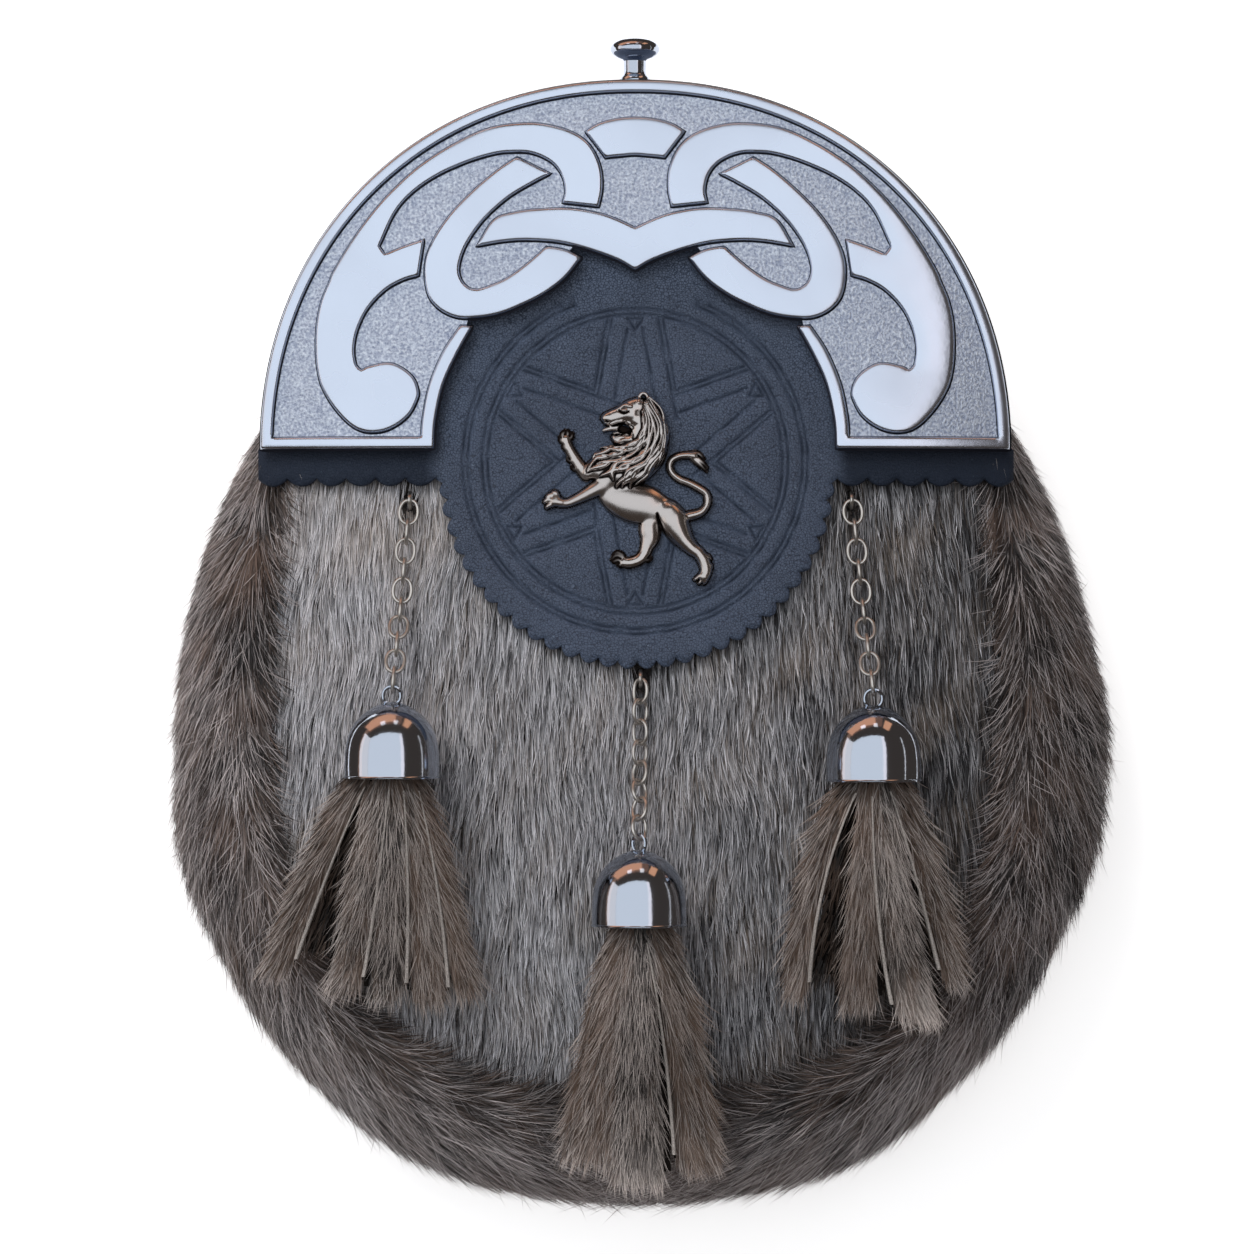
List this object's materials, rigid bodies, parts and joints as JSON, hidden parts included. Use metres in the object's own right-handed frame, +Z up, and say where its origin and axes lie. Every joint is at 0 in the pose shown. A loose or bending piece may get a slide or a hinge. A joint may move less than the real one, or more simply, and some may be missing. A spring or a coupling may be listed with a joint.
{
  "type": "sporran pouch",
  "caption": "Flat-lying leather and fur belt pouch with a cast arched frame, tooled leather disc, lion badge, and bell-capped fur tassels on short chains.",
  "frame": {"origin": "middle of the bounding box in plan, on the surface that the pouch lies on", "axes": "+Z up, the way the front faces; +Y towards the clasp knob; +X to the right of someone looking at the front"},
  "size_m": [0.1931, 0.2376, 0.0657],
  "materials": {
    "black_leather": "blue-black grained leather, tooled on the tabard",
    "hide": "short straight grey-brown hair on hide",
    "long_fur": "long dark brown fur with grey-beige tips",
    "cast_steel": "polished raised knotwork on a stippled matt ground",
    "dark_chrome": "dark mirror chrome",
    "aged_silver": "antique silver, dark in the recesses",
    "pewter_wire": "dark pewter wire"
  },
  "bodies": {
    "root": {"back_panel": "black_leather", "belt_loop_left": "black_leather", "belt_loop_right": "black_leather", "tabard": "black_leather", "top_band": "black_leather", "front_panel": "hide", "gusset": "long_fur", "tassel_left": "long_fur", "tassel_right": "long_fur", "tassel_centre": "long_fur", "cantle": "cast_steel", "clasp_knob": "dark_chrome", "bell_left": "dark_chrome", "bell_right": "dark_chrome", "bell_centre": "dark_chrome", "lion_badge": "aged_silver", "anchor_left": "pewter_wire", "anchor_right": "pewter_wire", "anchor_centre": "pewter_wire", "chain_left_link_01": "pewter_wire", "chain_left_link_02": "pewter_wire", "chain_left_link_03": "pewter_wire", "chain_left_link_04": "pewter_wire", "chain_left_link_05": "pewter_wire", "chain_left_link_06": "pewter_wire", "chain_left_link_07": "pewter_wire", "chain_left_link_08": "pewter_wire", "chain_left_link_09": "pewter_wire", "chain_left_link_10": "pewter_wire", "chain_right_link_01": "pewter_wire", "chain_right_link_02": "pewter_wire", "chain_right_link_03": "pewter_wire", "chain_right_link_04": "pewter_wire", "chain_right_link_05": "pewter_wire", "chain_right_link_06": "pewter_wire", "chain_right_link_07": "pewter_wire", "chain_right_link_08": "pewter_wire", "chain_right_link_09": "pewter_wire", "chain_right_link_10": "pewter_wire", "chain_centre_link_01": "pewter_wire", "chain_centre_link_02": "pewter_wire", "chain_centre_link_03": "pewter_wire", "chain_centre_link_04": "pewter_wire", "chain_centre_link_05": "pewter_wire", "chain_centre_link_06": "pewter_wire", "chain_centre_link_07": "pewter_wire", "chain_centre_link_08": "pewter_wire"}
  },
  "joints": []
}
